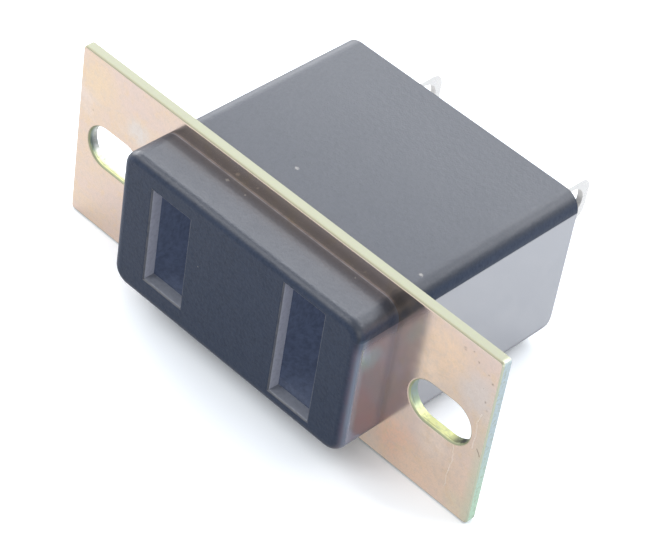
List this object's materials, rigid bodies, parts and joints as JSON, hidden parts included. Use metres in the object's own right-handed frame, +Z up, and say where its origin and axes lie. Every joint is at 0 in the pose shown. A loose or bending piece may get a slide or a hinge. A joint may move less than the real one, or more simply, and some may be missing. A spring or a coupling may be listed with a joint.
{
  "type": "panel mount ac outlet",
  "caption": "Panel mount AC outlet: a black nose with polarised blade slots on a flat steel mounting plate with slotted holes, a box housing behind it and flat solder lugs",
  "frame": {"origin": "centre of the mounting plate's front face, midway between the mounting holes", "axes": "+X along the plate towards the tall blade slot, +Y from the plug side to the wiring side, +Z up"},
  "size_m": [0.04, 0.0285, 0.015],
  "materials": {
    "plate_steel": "smooth steel sheet, zinc plated with a yellow chromate film",
    "cap_plastic": "satin black moulding",
    "housing_plastic": "satin black moulding",
    "contact_brass": "tinned brass strip"
  },
  "bodies": {
    "root": {"mounting_plate": "plate_steel", "front_cap": "cap_plastic", "rear_housing": "housing_plastic", "contact_left": "contact_brass", "contact_right": "contact_brass"}
  },
  "joints": []
}
